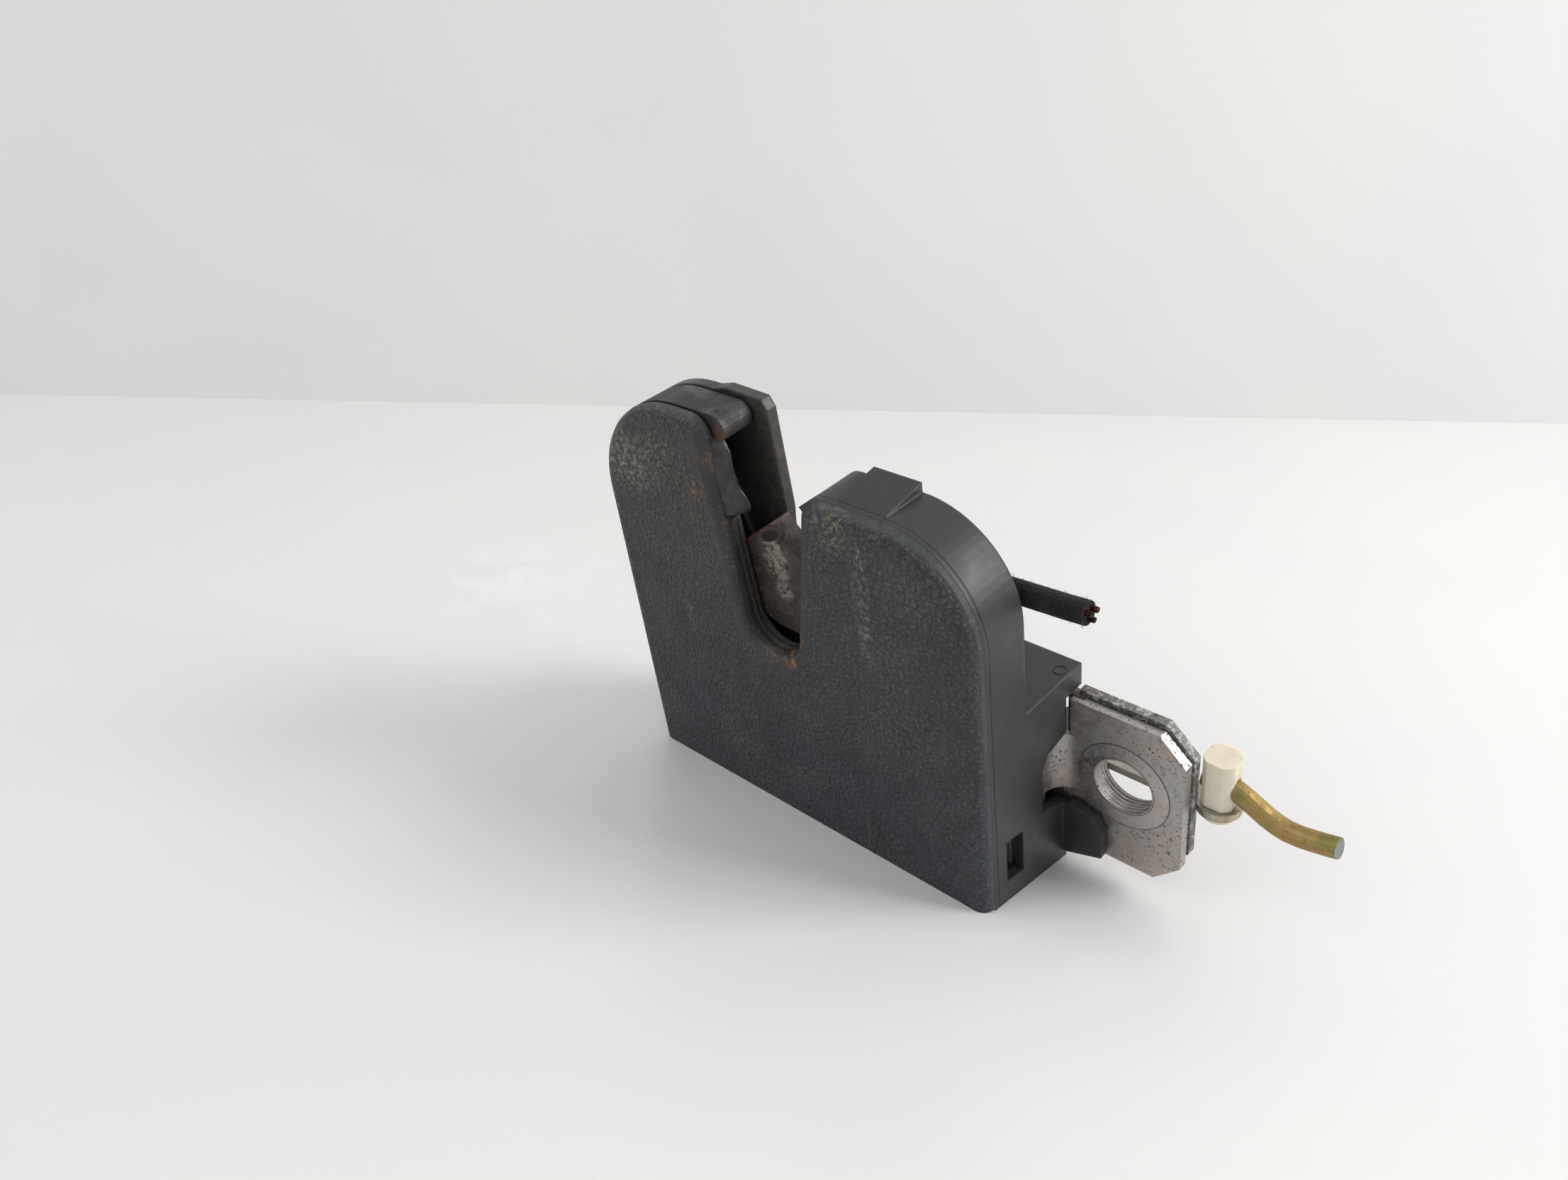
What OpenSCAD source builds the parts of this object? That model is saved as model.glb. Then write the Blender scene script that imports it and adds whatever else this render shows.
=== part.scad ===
// Boot lid lock: moulded housing with a U-shaped mouth, rotating claw, pawl,
// sliding release bar with a cut pull rod, and a plated fixing tab.
// Places are given from the housing's right wall (X), front face (Y) and the
// front lower edge (Z). The finished lock is set down on its slanted base.

/* [Housing] */
// Width of the front face
housing_w = 85; // [80:0.5:92]
// Height of the right shoulder
shoulder_h = 74.3; // [73:0.1:78]
// Height of the left horn
horn_h = 83; // [80:0.5:88]
// Depth of the upper part
upper_d = 13.1; // [12.8:0.1:15]
// Depth of the lower block
block_d = 29.8; // [29:0.1:31]
// Height of the lower block's top face
block_h = 37.4; // [36:0.1:39]
// Wall thickness of the housing
wall = 2.2; // [1.6:0.1:2.6]
// Thickness of the front cover, which is also its edge radius
cover_t = 2.6; // [2:0.1:3]
// Slope of the base against the front face's normal, in degrees
base_tilt = 12; // [8:0.5:14]

/* [Mouth] */
// Half the width of the mouth at its round end
mouth_r = 6.4; // [5.6:0.1:7]
// Distance of the mouth's round end from the right wall
mouth_in = 45; // [43:0.5:47]
// Height of the centre of the mouth's round end
mouth_z = 45.5; // [44:0.5:48]
// Depth of the collar that lines the mouth of the cover
collar_d = 2; // [1:0.1:2]
// How far the rear wall of the horn stands into the mouth
horn_step = 2.6; // [1:0.1:3]

/* [Claw and pawl] */
// Distance of the claw's pivot from the right wall
claw_in = 23.5; // [22.5:0.5:24]
// Height of the claw's pivot
claw_z = 47; // [46:0.5:48]
// Thickness of the claw
claw_t = 4.4; // [3.6:0.1:4.6]
// Radius of the claw's pivot pin
claw_pin_r = 4; // [3:0.1:5]
// Radius of the claw's hub
hub_r = 11; // [9:0.5:11.5]
// Half the width of the gap between the claw's prongs
fork_r = 4.6; // [4:0.1:5]
// Distance of the pawl's pivot from the right wall
pawl_in = 16; // [15:0.5:17]
// Height of the pawl's pivot
pawl_z = 27; // [26:0.5:28]
// Radius of the pawl's pivot pin
pawl_pin_r = 2.5; // [2:0.1:3]
// Radial running clearance of the pivots
run_gap = 0.05; // [0.02:0.01:0.1]

/* [Fixing tab] */
// Thickness of the frame plate
frame_t = 1; // [0.8:0.1:1.2]
// Thickness of the thick backing plate
backing_t = 1.8; // [1.5:0.1:2]
// Distance of the tab's front face behind the front face
tab_y = 26; // [25.5:0.1:26.2]
// Distance of the fixing hole beyond the right wall
hole_out = 10.8; // [10:0.1:12]
// Height of the fixing hole
hole_z = 17.2; // [16:0.1:18]
// Radius of the fixing hole
hole_r = 5.65; // [4.5:0.05:6]
// Reach of the tab beyond the right wall
tab_out = 22.3; // [21:0.1:24]
// Height of the tab's upper edge
tab_top = 32; // [31:0.1:33]
// Height of the tab's lower edge
tab_low = -1.3; // [-2:0.1:0]
// Size of the tab's cut corners
tab_cut = 5; // [3:0.5:6]
// Inner radius of the tab's bend
bend_r = 4; // [3:0.5:4.5]

/* [Release bar and rod] */
// Height of the underside of the release bar
bar_z = 15; // [14:0.1:16]
// Thickness of the release bar
bar_t = 1.5; // [1:0.1:2]
// Width of the release bar
bar_w = 5; // [4:0.5:5]
// Reach of the bar's round end beyond the right wall
bar_out = 25.2; // [25:0.1:27]
// Radius of the bar's round end
eye_r = 3.9; // [3.5:0.1:4.2]
// Radius of the pull rod
rod_r = 1.85; // [1.5:0.05:2]
// Length of the cut pull rod beyond its clip
rod_reach = 20.5; // [18:0.5:24]
// Width of the rod clip
clip_w = 5.7; // [5.5:0.1:6.5]
// Height of the rod clip
clip_h = 10; // [9:0.1:11]

/* [Switch and loom] */
// Diameter of the taped loom
loom_dia = 4.2; // [4:0.1:4.6]
// Distance of the switch from the right wall
switch_in = 22; // [21:0.5:24]
// Height of the middle of the switch
switch_z = 57; // [56.5:0.5:58]
// Length of the switch
switch_l = 13; // [11:0.5:14]
// Height of the switch
switch_h = 9; // [8:0.5:10]
// Depth of the switch
switch_d = 8; // [7:0.5:9]

/* [Hidden] */

black_plastic = "#3a3d40";
smooth_plastic = "#33363a";
zinc = "#b9b0a8";
dark_zinc = "#9a958f";
steel = "#77716a";
spring_steel = "#8c8c8c";
claw_brown = "#5a4d40";
rubber = "#4a4c4b";
cream = "#e9dfc9";
yellow_zinc = "#b7965a";
copper = "#a4603c";
fleece = "#15171b";

// General clearance between faces of different pieces
seat_gap = 0.3;
// Layers from front to back
claw_y = cover_t + collar_d + 0.4;
frame_y = claw_y + claw_t + seat_gap;
rear_wall_y = frame_y + frame_t + 0.1;
doubler_y = tab_y + frame_t;
backing_y = doubler_y + frame_t + 0.4;
bar_y = block_d + seat_gap + 0.5;
bar_mid = bar_y + bar_w / 2;
rear_cover_t = 2;
lid_y = block_d - rear_cover_t;
// Outline arcs of the front view
shoulder_r = 18.5;
horn_r = 21;
horn_tip_r = 4.1;
lip_r = 3.3;
horn_tip_in = 59;
lip_in = 31.4;
slot_ease = 0.5;
// Points on the arcs, and where the mouth's arc starts and ends in the outline
shoulder_n = 20;
lip_n = 4;
mouth_n = 14;
mouth_first = shoulder_n + lip_n + 3;
mouth_mid = mouth_first + mouth_n / 2;
mouth_last = mouth_first + mouth_n;
fork_dir = 134;
fork_at = 21.5;
loom_y = 18;
loom_z = 57;
loom_end_z = 58.4;
tongue_l = 8.1;
tongue_t = 2;
tongue_z = 9.9;
stud_r = 2;
stud_arm = pawl_z - bar_z - bar_t / 2;

function arc(c, r, a, b, n) = [for (i = [0 : n]) c + r * [cos(a + (b - a) * i / n), sin(a + (b - a) * i / n)]];

// Front outline as one loop with the mouth in it, drawn in by d
function outline(d) = concat(
    [[-d, base_z(0)]],
    arc([-shoulder_r, shoulder_h - shoulder_r], shoulder_r - d, 0, 90, shoulder_n),
    arc([-lip_in, shoulder_h - lip_r], lip_r - d, 90, 175, lip_n),
    arc([-mouth_in, mouth_z], mouth_r + slot_ease * d, 0, -180, mouth_n),
    arc([-horn_tip_in, horn_h - horn_tip_r], horn_tip_r - d, 5, 90, 5),
    arc([horn_r - housing_w, horn_h - horn_r], horn_r - d, 90, 180, 20),
    [[d - housing_w, base_z(0)]]);

// Outline without the mouth
function full_outline(d) = concat(
    [[-d, base_z(0) + d]],
    arc([-shoulder_r, shoulder_h - shoulder_r], shoulder_r - d, 0, 90, 10),
    [[-lip_in, shoulder_h - d], [-lip_in - 8, mouth_z + 20], [-horn_tip_in + 6, mouth_z + 20]],
    arc([-horn_tip_in, horn_h - horn_tip_r], horn_tip_r - min(d, horn_tip_r - 0.5), 5, 90, 5),
    arc([horn_r - housing_w, horn_h - horn_r], horn_r - d, 90, 180, 11),
    [[d - housing_w, base_z(0) + d]]);

// Height of the slanted base at a depth y
function base_z(y) = -y * tan(base_tilt);

// Stand a front-view shape up between two depths
module slab(y, t) translate([0, y + t, 0]) rotate([90, 0, 0]) linear_extrude(t) children();
// A side-view shape (Y, Z) between two places along X
module side_slab(x, t) translate([x, 0, 0]) rotate([90, 0, 90]) linear_extrude(t) children();
// A round bar along Y
module bar_along_y(x, y, z, r, l) translate([x, y, z]) rotate([-90, 0, 0]) cylinder(r = r, h = l, $fn = 48);
// Set the lock down on its slanted base
module set_down() translate([housing_w / 2, -block_d / 2, 0]) rotate([base_tilt, 0, 0]) children();

// Solid lofted through copies of the front outline at rising depths
module loft(rings, depths) {
    n = len(rings[0]);
    m = len(rings);
    points = [for (k = [0 : m - 1]) for (p = rings[k]) [p[0], depths[k], p[1]]];
    walls = [for (k = [0 : m - 2]) for (i = [0 : n - 1]) for (t = [0, 1])
        t == 0 ? [k * n + i, k * n + (i + 1) % n, (k + 1) * n + (i + 1) % n] : [k * n + i, (k + 1) * n + (i + 1) % n, (k + 1) * n + i]];
    back = [for (f = cap_faces(n)) [for (i = f) (m - 1) * n + i]];
    front = [for (f = cap_faces(n)) [for (i = [len(f) - 1 : -1 : 0]) f[i]]];
    polyhedron(points, concat(walls, front, back));
}

// The front outline's face in simple pieces: shoulder, horn, and fans below the mouth
function cap_faces(n) = concat(
    [[for (i = [0 : mouth_first]) i]],
    [for (i = [mouth_first : mouth_mid - 1]) [0, i, i + 1]],
    [[0, mouth_mid, n - 1]],
    [for (i = [mouth_mid : mouth_last - 1]) [n - 1, i, i + 1]],
    [[for (i = [mouth_last : n - 1]) i]]);

module front_cover() set_down() color(black_plastic) {
    steps = [0, 22, 45, 68, 90];
    loft([for (a = steps) outline(cover_t * (1 - sin(a)))], [for (a = steps) cover_t * (1 - cos(a))]);
}

// Collar that lines the mouth behind the cover, down both sides and round the end
module mouth_liner() set_down() color(black_plastic) {
    collar_t = 1.4;
    slab(cover_t, collar_d) difference() {
        intersection() {
            polygon(outline(0));
            union() {
                translate([-mouth_in, mouth_z]) circle(mouth_r + collar_t, $fn = 48);
                translate([-mouth_in - mouth_r - collar_t - 3, mouth_z]) square([2 * mouth_r + 2 * collar_t + 6, 21]);
            }
        }
        translate([-mouth_in - mouth_r - collar_t - 9, mouth_z + 18]) square([3 * mouth_r + 20, 30]);
    }
}

// Side profile of the block with its slanted base, from the cover's back to a depth
function block_profile(y0, y1, inset) = [[y0, base_z(y0) + inset], [y1, base_z(y1) + inset],
    [y1, block_h - inset], [y0, block_h - inset]];

module rear_housing() set_down() color(smooth_plastic) difference() {
    union() {
        upper_shell();
        lower_block();
        retaining_tongue();
        claw_bosses();
        horn_rear_wall();
        shoulder_wedge();
        buffer_shelf();
    }
    tab_cut_out();
    side_window();
    buffer_seat();
    plunger_hole();
    screw_holes();
    stud_window();
    flange_slot();
}

// Rear wall of the horn, which stands further into the mouth than the cover does
module horn_rear_wall() slab(rear_wall_y, upper_d - rear_wall_y) polygon([
    [-horn_tip_in - 1, mouth_z + 4.5], [horn_edge - 0.2, mouth_z + 4.5], [horn_edge + 0.2 + horn_step, mouth_z + 9.5],
    [horn_edge + 0.8 + horn_step, mouth_z + 17.2], [horn_edge - 0.6 + horn_step, horn_h - 1.2], [horn_edge - 1.8 + horn_step, horn_h + 0.6],
    [-horn_tip_in, horn_h + 0.9], [-horn_tip_in - 7, horn_h - 1]]);

// Top of the shoulder near the mouth, which rises to the back and steps down to the arc
module shoulder_wedge() side_slab(-28.4, 9.8)
    polygon([[cover_t, shoulder_h - 1.5], [upper_d, shoulder_h - 1.5], [upper_d, shoulder_h + 1.8], [cover_t, shoulder_h]]);

// Shelf inside the horn that the buffer lies on
module buffer_shelf() slab(cover_t, rear_wall_y - cover_t) polygon([[buffer_left - 0.4, buffer_z - 8], [buffer_left - 0.1, buffer_z - 5.3],
    [buffer_left + 5.6, buffer_z - 2.1], [buffer_left + 11.6, buffer_z], [-horn_tip_in - 3, buffer_z], [-horn_tip_in - 3, buffer_z - 1.8],
    [buffer_left + 12.1, buffer_z - 1.8], [buffer_left + 6.4, buffer_z - 3.8], [buffer_left + 1.2, buffer_z - 8]]);
// Height of the buffer's underside, and places of its left end and of the mouth's horn side
buffer_z = horn_h - 5.1;
buffer_left = 3.4 - housing_w;
horn_edge = -mouth_in - mouth_r;

// Window in the rear wall for the pawl's stud and the bar's finger
module stud_window() slab(rear_wall_y - 0.5, upper_d - rear_wall_y + 1)
    translate([-pawl_in - 8, bar_z - 3]) square([16, 8]);

// Slot in the rear wall that the frame plate's flange passes through
module flange_slot() slab(rear_wall_y - 0.5, upper_d - rear_wall_y + 1)
    translate([-wall - 2.3 * frame_t, flange_low - seat_gap]) square([2.3 * frame_t, tab_top - flange_low + 2 * seat_gap]);

module upper_shell() difference() {
    slab(cover_t, upper_d - cover_t) polygon(outline(0));
    slab(cover_t - 1, rear_wall_y - cover_t + 1) difference() {
        polygon(full_outline(wall));
        translate([-housing_w, -20]) square([housing_w, 20 + wall]);
    }
    slab(cover_t - 1, rear_wall_y - cover_t + 1) mouth_side_room();
}

// Room for the claw where it leaves the shoulder, and in the horn beside the mouth, open to the mouth
module mouth_side_room() {
    room_top = shoulder_h - wall - 1.1;
    polygon([[-lip_in + 1, room_top], [-mouth_in + 1, room_top], [-mouth_in + 1, mouth_z], [-lip_in + 1, mouth_z]]);
    polygon([[-mouth_in - mouth_r - 3, mouth_z - mouth_r - 2], [-mouth_in + mouth_r - 2, mouth_z - mouth_r - 2],
        [-mouth_in + mouth_r - 2, mouth_z + 1], [-mouth_in - 2, mouth_z + 1], [-mouth_in - 2, buffer_z + 0.5], [-horn_tip_in - 4, buffer_z + 0.5]]);
}

module lower_block() difference() {
    side_slab(-housing_w, housing_w) polygon(block_profile(cover_t, block_d, 0));
    side_slab(wall - housing_w, housing_w - 2 * wall) polygon(block_profile(cover_t - 1, rear_wall_y, wall));
    side_slab(wall - housing_w, housing_w - 2 * wall) polygon(block_profile(rear_wall_y - 0.01, block_d + 1, wall));
    slab(cover_t - 1, rear_wall_y - cover_t + 1)
        translate([wall - housing_w, block_h - 5]) square([housing_w - 2 * wall, 6]);
    slab(cover_t - 1, upper_d + 3) translate([-mouth_in, mouth_z]) circle(mouth_r, $fn = 48);
}

// Tongue that hooks round the front of the fixing tab
module retaining_tongue() slab(tab_y - seat_gap - tongue_t, tongue_t)
    polygon([[-0.5, -3], [0.6, -3], [tongue_l, -0.4], [tongue_l, 5.8], [tongue_l - 1.8, 8.6], [-0.5, tongue_z]]);

module tab_cut_out() side_slab(-wall - 1, wall + 2)
    polygon([[17.5, 11], [17.5, 21.5], [19.5, 24], [25, 25], [25, tab_top + 0.8],
        [block_d + 1, tab_top + 0.8], [block_d + 1, -7.5], [25, -7.5], [25, 9]]);

module side_window() side_slab(-wall - 1, wall + 2) polygon([[6.4, 3.4], [11.4, 2.3], [11.4, 11.9], [6.4, 13]]);

module buffer_seat() slab(cover_t - 1, rear_wall_y - cover_t + 1)
    polygon([[buffer_left - 6.4, buffer_z - 5.3], [buffer_left - 0.1, buffer_z - 5.3], [buffer_left + 5.6, buffer_z - 2.1], [buffer_left + 11.6, buffer_z],
        [-mouth_in + 5, buffer_z], [-mouth_in + 5, horn_h + 5], [buffer_left - 6.4, horn_h + 5]]);

module plunger_hole() bar_along_y(plunger_x, rear_wall_y - 1, switch_z, plunger_r + seat_gap, 5);

// Blind bosses that carry the cover screws
module claw_bosses() for (p = screw_places) slab(cover_t, rear_wall_y - cover_t)
    translate(p) circle(screw_r + boss_wall, $fn = 32);
module screw_holes() for (p = screw_places) bar_along_y(p[0], cover_t - 1, p[1], screw_r + run_gap, 10);
screw_r = 1.5;
boss_wall = 2;
screw_places = [[-housing_w + 9, 12], [-8.5, 60], [-housing_w + 9, 55]];

// Lid that closes the back of the block, with a slot for the bar's finger
module rear_cover() set_down() color(smooth_plastic) difference() {
    slab(lid_y, rear_cover_t) polygon([[wall + 0.1 - housing_w, base_z(lid_y) + wall + 0.1], [-wall - 2.6, base_z(lid_y) + wall + 0.1],
        [-wall - 2.6, block_h - wall - 0.1], [wall + 0.1 - housing_w, block_h - wall - 0.1]]);
    slab(lid_y - 1, rear_cover_t + 2) translate([-pawl_in - 7, bar_z - 1]) square([14, bar_t + 2]);
}

// Radius of the buffer's nose
nose_r = 2.5;
// Rubber pad let into the top of the horn
module horn_buffer() set_down() color(rubber) slab(cover_t + 0.7, rear_wall_y - cover_t - 1.4)
    intersection() {
        polygon(concat(arc([horn_edge - 3.5, horn_h - nose_r], nose_r, -90, 90, 12), arc([horn_r - housing_w, horn_h - horn_r], horn_r, 90, 165, 16)));
        polygon([[buffer_left, buffer_z - 5.2], [buffer_left + 5.6, buffer_z - 2.05], [buffer_left + 11.6, buffer_z + 0.05],
            [-mouth_in + 5, buffer_z + 0.05], [-mouth_in + 5, horn_h + 5], [buffer_left, horn_h + 5]]);
    }

// Pierced frame plate with a side flange and the bent fixing tab
module frame_plate() set_down() color(zinc) difference() {
    union() {
        slab(frame_y, frame_t) difference() {
            polygon([[-wall - 1.3, flange_low], [-wall - 1.3, 54], [-12, 68], [-24, 70], [-30, 70], [-mouth_in + mouth_r + 1, mouth_z],
                [-mouth_in + mouth_r + 1, mouth_z - mouth_r - 2], [-mouth_in - mouth_r - 1.5, mouth_z - mouth_r - 2],
                [-mouth_in - mouth_r - 1.5, mouth_z], [-61, 66], [-76, 66], [-76, 31], [-24, 31], [-24, 22], [-7, 22], [-7, flange_low]]);
            translate([-mouth_in, mouth_z]) circle(mouth_r + 0.4, $fn = 48);
            for (p = screw_places) translate(p) circle(screw_r + boss_wall + seat_gap, $fn = 32);
        }
        flange_and_tab(0, frame_t, frame_y + frame_t);
    }
    bar_along_y(-claw_in, frame_y - 1, claw_z, claw_pin_r, frame_t + 2);
    bar_along_y(-pawl_in, frame_y - 1, pawl_z, pawl_pin_r, frame_t + 2);
    bar_along_y(plunger_x, frame_y - 1, switch_z, plunger_r + seat_gap, frame_t + 2);
    fixing_hole(0);
}
// Place and radius of the switch plunger, which rests on the claw's back face
plunger_x = -switch_in - switch_l + 3;
plunger_r = 1.5;

// Outline of the tab in the front view
function tab_outline(x0, grow) = [[x0, tab_low], [tab_out - tab_cut, tab_low], [tab_out, tab_low + tab_cut],
    [tab_out, tab_top - tab_cut], [tab_out - tab_cut, tab_top + grow], [x0, tab_top + grow]];
// The same with a step where the bend joins it
function bent_tab_outline(x0, x1) = concat(tab_outline(x0, 0), [[x0, bend_high], [x1, bend_high], [x1, bend_low], [x0, bend_low]]);

// Flange along the side wall, its bend and the tab; lay is the layer in front of it
module flange_and_tab(lay, t, from_y) {
        translate([bend_x(), tab_y - bend_r, bend_low]) difference() {
            cylinder(r = bend_r + lay + t, h = bend_high - bend_low, $fn = 64);
            translate([0, 0, -1]) cylinder(r = bend_r + lay, h = bend_high - bend_low + 2, $fn = 64);
            translate([0, -20, -1]) cube([20, 40, bend_high - bend_low + 2]);
            translate([-20, -20, -1]) cube([40, 20, bend_high - bend_low + 2]);
        }
        translate([bend_x() - bend_r - lay - t, from_y - 0.01, flange_low]) cube([t, tab_y - bend_r - from_y + 0.02, tab_top - flange_low]);
        slab(tab_y + lay, t) polygon(bent_tab_outline(0.2, bend_x() - 0.01));
}
// Lower edge of the flange inside the block, clear of the floor
flange_low = 2.8;
// Lower and upper end of the bend, which passes through the side wall
bend_low = 11.4;
bend_high = 24;
function bend_x() = bend_r - wall - 0.3;

module fixing_hole(extra) bar_along_y(hole_out, tab_y - 5, hole_z, hole_r + extra, 12);

// Second sheet laid behind the tab
module tab_doubler() set_down() color(zinc) difference() {
    slab(doubler_y, frame_t) polygon(tab_outline(bend_x() + 0.6, -0.3));
    fixing_hole(0);
}

// Thick corroded plate behind the tab, running into the block
module backing_plate() set_down() color(dark_zinc) difference() {
    slab(backing_y - 0.4, backing_t + 0.4)
        polygon([[bend_x() + 0.4, tab_low + 2], [tab_out - tab_cut, tab_low + 2], [tab_out + 0.3, tab_low + 2 + tab_cut],
            [tab_out + 0.3, tab_top - tab_cut + 0.4], [tab_out - tab_cut, tab_top + 0.6], [bend_x() - 1, tab_top + 0.6], [bend_x() - 1, tab_top - 6]]);
    slab(backing_y - 0.5, 0.5) difference() {
        translate([-10, -10]) square([60, 60]);
        translate([hole_out, hole_z]) circle(hole_r + 4.2, $fn = 48);
    }
    fixing_hole(0);
}

// Corners of the claw from its pivot
claw_outline = [[-19, -5.7], [-24.5, -5.4], [-29.8, -3.4], [-30.8, 3], [-29.6, 11.3], [-21.7, 17.6], [-16.5, 21.4], [-14.1, 23.2], [-7.5, 21.5]];
// Claw as it stands open: lower prong in the mouth, upper prong tucked in the shoulder
module claw() set_down() color(claw_brown) difference() {
    slab(claw_y, claw_t) difference() {
        polygon(concat([for (p = claw_outline) [p[0] - claw_in, p[1] + claw_z]], arc([-claw_in, claw_z], hub_r, 82, -106, 40)));
        translate([-claw_in + fork_at * cos(fork_dir), claw_z + fork_at * sin(fork_dir)]) rotate(fork_dir)
            polygon(concat(arc([0, 0], fork_r, 90, 270, 24), [[30, -fork_r], [30, fork_r]]));
    }
    bar_along_y(-claw_in, claw_y - 1, claw_z, claw_pin_r + run_gap, claw_t + 2);
}

module claw_pin() set_down() color(steel) {
    bar_along_y(-claw_in, cover_t + seat_gap, claw_z, claw_pin_r, frame_y + frame_t - cover_t - seat_gap);
    bar_along_y(-claw_in, cover_t + seat_gap, claw_z, claw_pin_r + 1.2, 1);
}

// Wound wire along Z: coil radius r, wire radius, number of turns and length between the wire's ends
module wound_wire(r, wire, turns, l) {
    sides = 6;
    n = ceil(turns * 14);
    points = [for (k = [0 : n]) for (j = [0 : sides - 1])
        [(r + wire * cos(60 * j)) * cos(360 * turns * k / n), (r + wire * cos(60 * j)) * sin(360 * turns * k / n), l * k / n + wire * sin(60 * j)]];
    skin = [for (k = [0 : n - 1]) for (j = [0 : sides - 1]) for (t = [0, 1])
        t == 0 ? [k * sides + j, (k + 1) * sides + j, (k + 1) * sides + (j + 1) % sides]
            : [k * sides + j, (k + 1) * sides + (j + 1) % sides, k * sides + (j + 1) % sides]];
    polyhedron(points, concat(skin, [[for (j = [0 : sides - 1]) j]], [[for (j = [sides - 1 : -1 : 0]) n * sides + j]]));
}

// Torsion spring about an axis along Y
module torsion_coil(x, y, z, r, wire, turns) translate([x, y + wire, z]) rotate([-90, 0, 0])
    wound_wire(r, wire, turns, 2.1 * wire * turns);

module claw_spring() set_down() color(spring_steel)
    torsion_coil(-claw_in, cover_t + 1.35, claw_z, claw_pin_r + 0.9, 0.25, 0.9);

// Rubber stop on the floor of the block that the claw closes against
module claw_stop() set_down() color(rubber) slab(claw_y, claw_t)
    polygon([[-mouth_in - 3, wall], [-mouth_in + 6, wall], [-mouth_in + 6, stop_top], [-mouth_in - 3, stop_top]]);
stop_top = 19.5;

module pawl() set_down() color(steel) difference() {
    union() {
        slab(claw_y, claw_t) {
            translate([-pawl_in, pawl_z]) circle(5, $fn = 48);
            polygon([[-pawl_in - 4.8, pawl_z - 1], [-pawl_in - 6, pawl_z + 7], [-pawl_in - 3, pawl_z + 7.6], [-pawl_in + 4, pawl_z + 3]]);
            polygon([[-pawl_in - 4, pawl_z], [-pawl_in - 3, pawl_z - stud_arm], [-pawl_in + 3, pawl_z - stud_arm], [-pawl_in + 4, pawl_z]]);
            translate([-pawl_in, pawl_z - stud_arm]) circle(3, $fn = 32);
        }
        bar_along_y(-pawl_in, claw_y + claw_t - 0.5, pawl_z - stud_arm, stud_r, 9);
    }
    bar_along_y(-pawl_in, claw_y - 1, pawl_z, pawl_pin_r + run_gap, claw_t + 2);
}

module pawl_pin() set_down() color(steel)
    bar_along_y(-pawl_in, cover_t + seat_gap, pawl_z, pawl_pin_r, frame_y + frame_t - cover_t - seat_gap);

module pawl_spring() set_down() color(spring_steel) torsion_coil(-pawl_in, cover_t + 0.4, pawl_z, pawl_pin_r + 0.7, 0.35, 1.8);

// Flat bar that slides along the back of the block and pulls the pawl's stud
module release_bar() set_down() color(zinc) difference() {
    union() {
        translate([-bar_in, bar_y, bar_z]) cube([bar_out + bar_in, bar_w, bar_t]);
        translate([-bar_in, bar_mid - head_w / 2, bar_z + bar_t / 2 - head_h / 2]) cube([head_t, head_w, head_h]);
        translate([bar_out, bar_mid, bar_z]) cylinder(r = eye_r, h = bar_t, $fn = 48);
        translate([-pawl_in - stud_r - seat_gap - 3, frame_y + frame_t + 2, bar_z])
            cube([3, bar_y - frame_y - frame_t - 1, bar_t]);
    }
    translate([bar_out, bar_mid, bar_z - 1]) cylinder(r = stem_r + run_gap, h = bar_t + 2, $fn = 32);
}
stem_r = 2;
// Reach of the bar inside the right wall, and the head that its spring pushes on
bar_in = 42;
head_t = 1.2;
head_w = 6;
head_h = 4;

// Two guides on the rear cover that the bar slides in
guide_x = -30;
module bar_guides() set_down() color(smooth_plastic) for (x = [guide_x, -8])
    translate([x, block_d, bar_z - 1.5 - seat_gap]) difference() {
        cube([4, bar_w + 3, bar_t + 3 + 2 * seat_gap]);
        translate([-1, 0.5, 1.5]) cube([6, bar_w + 0.8, bar_t + 2 * seat_gap]);
    }

// Return spring between the far guide and the bar's head
spring_wire = 0.25;
spring_turns = 6;
module bar_spring() set_down() color(spring_steel) translate([head_t + 0.5 - bar_in, bar_mid, bar_z + bar_t / 2]) rotate([0, 90, 0])
    wound_wire(bar_w / 2 + 0.45, spring_wire, spring_turns, bar_in + guide_x - head_t - 1);

// Clip that turns in the bar's eye and holds the rod
module rod_clip() set_down() color(cream) difference() {
    union() {
        translate([bar_out, bar_mid, bar_z + bar_t + 0.1]) intersection() {
            translate([-clip_w / 2, -clip_w / 2, 0]) cube([clip_w, clip_w, clip_h]);
            cylinder(r = clip_w * 0.56, h = clip_h, $fn = 48);
        }
        translate([bar_out, bar_mid, bar_z - 1.6]) cylinder(r = stem_r, h = bar_t + 2, $fn = 32);
        translate([bar_out, bar_mid, bar_z - 1.6]) cylinder(r = stem_r + 0.8, h = 1.5, $fn = 32);
    }
    translate([bar_out - clip_w, bar_mid, rod_z()]) rotate([0, 90, 0]) cylinder(r = rod_r, h = 2 * clip_w, $fn = 32);
}
function rod_z() = bar_z + bar_t + 4.3;

// Bent pull rod, cut off a short way beyond the clip: places along it from the clip's middle (X, Z)
rod_route = [[-3, 0], [0, 0], [1.6, -0.1], [2.8, -0.5], [4.4, -1.2], [6.2, -2.2], [8.4, -3.4], [10.2, -4.1],
    [12, -4.5], [14, -4.5], [16, -4.2], [18.2, -3.8]];
module pull_rod() set_down() color(yellow_zinc) translate([bar_out, bar_mid, rod_z()])
    tube_in_xz(concat(rod_route, [[rod_reach, -3.3]]), rod_r, 16);

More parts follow.
